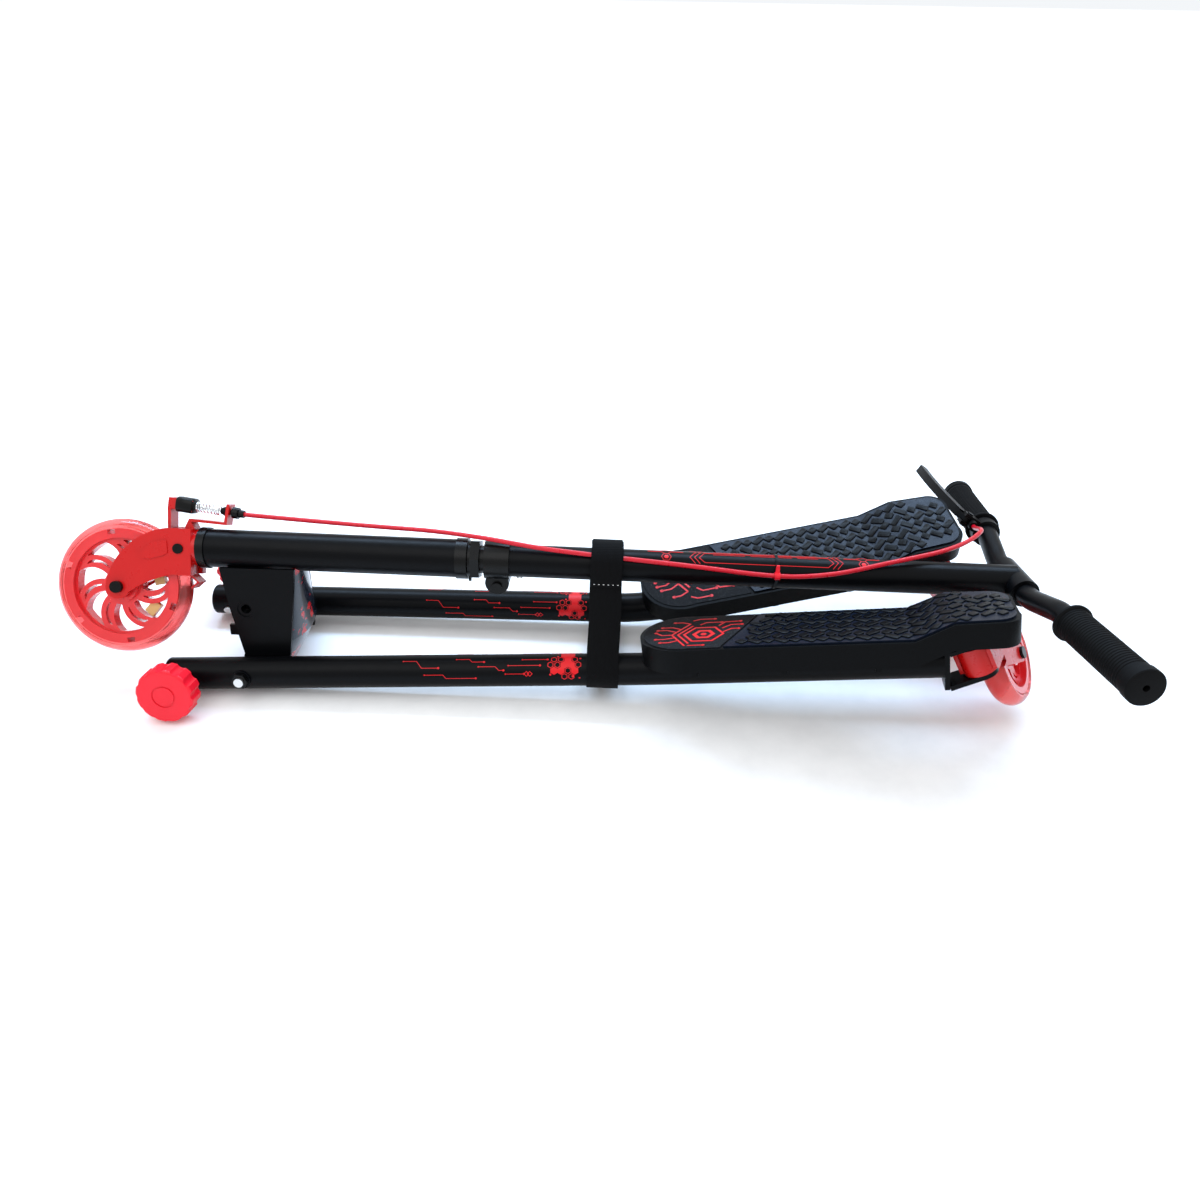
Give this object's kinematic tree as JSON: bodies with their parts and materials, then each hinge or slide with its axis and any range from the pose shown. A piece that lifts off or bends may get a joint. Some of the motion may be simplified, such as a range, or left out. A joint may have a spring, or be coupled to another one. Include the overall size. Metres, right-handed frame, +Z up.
{
  "type": "folding three-wheel scooter",
  "caption": "Folding three-wheel carving scooter with two splayed decks, trailing casters, T-bar and lever brake, folded flat and strapped shut.",
  "frame": {"origin": "centre of the folded scooter's footprint, on the surface that it lies on", "axes": "+X from the front wheel to the handlebar, +Y to the rider's right, +Z up off the surface"},
  "size_m": [1.0668, 0.4972, 0.1956],
  "materials": {
    "black_paint": "satin black powder coat",
    "black_steel": "blackened steel",
    "red_paint": "gloss red paint",
    "zinc": "zinc plated",
    "spring_steel": "bright",
    "shield_plastic": "black with a printed pattern",
    "strap_webbing": "woven black webbing",
    "black_plastic": "satin",
    "deck_plastic": "fine grain",
    "red_plastic": "satin red",
    "red_hub": "gloss red",
    "clear_red": "translucent red urethane",
    "red_cable": "red vinyl casing",
    "grip_rubber": "ribbed",
    "boot_rubber": "smooth",
    "tread_rubber": "raised tread pattern",
    "grip_tape": "gritty with red line print"
  },
  "bodies": {
    "frame": {"head_tube": "black_paint", "headset_lower": "black_steel", "headset_upper": "black_steel", "bracket": "black_paint", "bracket_shield": "shield_plastic", "pivot_bolt_left": "zinc", "pivot_bolt_right": "zinc", "pivot_nut_left": "black_steel", "pivot_nut_right": "black_steel", "strap": "strap_webbing"},
    "stem": {"stem_tube": "black_paint", "handlebar": "black_paint", "collar": "black_steel", "collar_bolt": "black_steel", "lever_perch": "black_plastic", "brake_cable": "red_cable", "cable_tie": "red_plastic", "grip_left": "grip_rubber", "grip_right": "grip_rubber"},
    "fork": {"steerer": "black_steel", "fork": "red_paint", "front_axle": "black_steel", "brake_pivot": "black_steel", "cable_bracket": "red_paint", "cable_adjuster": "black_steel", "wire_boot": "boot_rubber", "brake_spring": "spring_steel", "headset_nut": "black_steel"},
    "brake_arm": {"brake_arm": "red_paint", "brake_clevis": "black_steel"},
    "front_wheel": {"front_tyre": "clear_red", "front_hub": "red_hub"},
    "brake_lever": {"brake_lever": "black_plastic"},
    "push_button": {"push_button": "zinc"},
    "arm_left": {"arm_tube_left": "black_paint", "tail_cap_left": "black_plastic", "deck_left": "deck_plastic", "grip_tape_left": "grip_tape", "tread_left": "tread_rubber", "neck_bracket_left": "black_paint", "kingpin_left": "zinc"},
    "caster_left": {"caster_fork_left": "red_paint", "caster_axle_left": "black_steel"},
    "caster_wheel_left": {"caster_tyre_left": "clear_red", "caster_hub_left": "red_hub"},
    "knob_left": {"knob_left": "red_plastic", "lock_stud_left": "zinc"},
    "arm_right": {"arm_tube_right": "black_paint", "tail_cap_right": "black_plastic", "deck_right": "deck_plastic", "grip_tape_right": "grip_tape", "tread_right": "tread_rubber", "neck_bracket_right": "black_paint", "kingpin_right": "zinc"},
    "caster_right": {"caster_fork_right": "red_paint", "caster_axle_right": "black_steel"},
    "caster_wheel_right": {"caster_tyre_right": "clear_red", "caster_hub_right": "red_hub"},
    "knob_right": {"knob_right": "red_plastic", "lock_stud_right": "zinc"}
  },
  "joints": [
    {"name": "steering", "type": "hinge", "parent": "frame", "child": "stem", "pos_m": [-0.38081, -0.005, 0.13909], "axis": [0.9999, 0, -0.0156], "range_deg": [-20, 20], "deforming": ["strap"]},
    {"name": "fork_turn", "type": "hinge", "parent": "stem", "child": "fork", "pos_m": [-0.38081, -0.005, 0.13909], "axis": [0.9999, 0, -0.0156], "range_deg": [0, 19.7], "deforming": ["brake_cable"]},
    {"name": "brake_lever_pull", "type": "hinge", "parent": "stem", "child": "brake_lever", "pos_m": [0.48134, 0.11191, 0.1346], "axis": [-0.5122, -0.0892, -0.8543], "range_deg": [0, 15], "stiffness_Nm_per_rad": 1.2},
    {"name": "brake_arm_swing", "type": "hinge", "parent": "fork", "child": "brake_arm", "pos_m": [-0.39482, -0.00548, 0.13843], "axis": [-0.0075, 0.8771, -0.4802], "range_deg": [0, 2.1], "deforming": ["brake_spring"]},
    {"name": "front_wheel_spin", "type": "hinge", "parent": "fork", "child": "front_wheel", "pos_m": [-0.4609, -0.02632, 0.10139], "axis": [-0.0075, 0.8771, -0.4802], "continuous": true},
    {"name": "button_press", "type": "slide", "parent": "stem", "child": "push_button", "axis": [0.0155, 0.1564, 0.9876], "range_m": [0, 0.002], "stiffness_N_per_m": 600},
    {"name": "arm_fold_left", "type": "hinge", "parent": "frame", "child": "arm_left", "pos_m": [-0.32721, -0.0745, 0.02323], "axis": [-0.0037, 0.972, -0.2351], "range_deg": [0, 90.74], "deforming": ["strap"]},
    {"name": "caster_swivel_left", "type": "hinge", "parent": "arm_left", "child": "caster_left", "pos_m": [0.43838, -0.11906, 0.09477], "axis": [-0.4723, 0.2846, 0.8342], "range_deg": [-7, 35]},
    {"name": "caster_wheel_spin_left", "type": "hinge", "parent": "caster_left", "child": "caster_wheel_left", "pos_m": [0.48515, -0.06338, 0.06869], "axis": [-0.7482, 0.3708, -0.5502], "continuous": true},
    {"name": "knob_slide_left", "type": "slide", "parent": "arm_left", "child": "knob_left", "axis": [-0.0037, 0.972, -0.2351], "range_m": [0, 0.014]},
    {"name": "arm_fold_right", "type": "hinge", "parent": "frame", "child": "arm_right", "pos_m": [-0.32721, 0.0645, 0.02323], "axis": [0.0037, 0.972, 0.2351], "range_deg": [0, 89.17], "deforming": ["strap"]},
    {"name": "caster_swivel_right", "type": "hinge", "parent": "arm_right", "child": "caster_right", "pos_m": [0.43971, 0.114, 0.07436], "axis": [-0.4481, -0.2877, 0.8464], "range_deg": [-35, 18]},
    {"name": "caster_wheel_spin_right", "type": "hinge", "parent": "caster_right", "child": "caster_wheel_right", "pos_m": [0.48612, 0.05862, 0.04704], "axis": [0.7602, 0.3756, 0.5301], "continuous": true},
    {"name": "knob_slide_right", "type": "slide", "parent": "arm_right", "child": "knob_right", "axis": [-0.0037, -0.972, -0.2351], "range_m": [0, 0.014]}
  ],
  "couplings": [
    {"joint": "brake_arm_swing", "follows": "brake_lever_pull", "ratio": 0.13}
  ]
}
